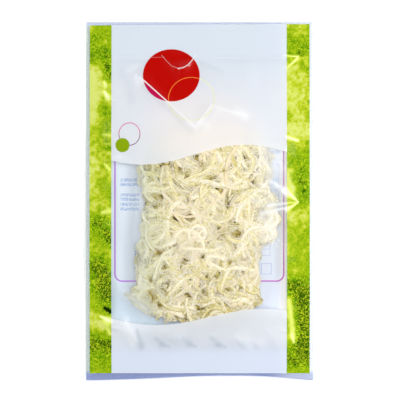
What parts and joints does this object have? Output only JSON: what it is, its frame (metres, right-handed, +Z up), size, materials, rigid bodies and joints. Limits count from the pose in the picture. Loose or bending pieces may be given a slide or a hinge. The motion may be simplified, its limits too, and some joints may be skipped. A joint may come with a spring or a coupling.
{
  "type": "sealed pouch of shredded dried squid",
  "caption": "Flat heat-sealed snack pouch lying on its back, its film drawn tight over a heap of soft shredded dried squid that shows through a clear window.",
  "frame": {"origin": "middle of the pouch's box at the table, under the flat of its back", "axes": "+X across the pouch to its right side as read, +Y towards its top edge, +Z up out of its printed front"},
  "size_m": [0.14, 0.221, 0.0151],
  "materials": {
    "printed_film": "glossy clear plastic film with white and mottled green print fields",
    "dried_squid": "soft fibrous cream shreds with a faint sheen"
  },
  "bodies": {
    "root": {"squid_pack": "printed_film"}
  },
  "joints": []
}
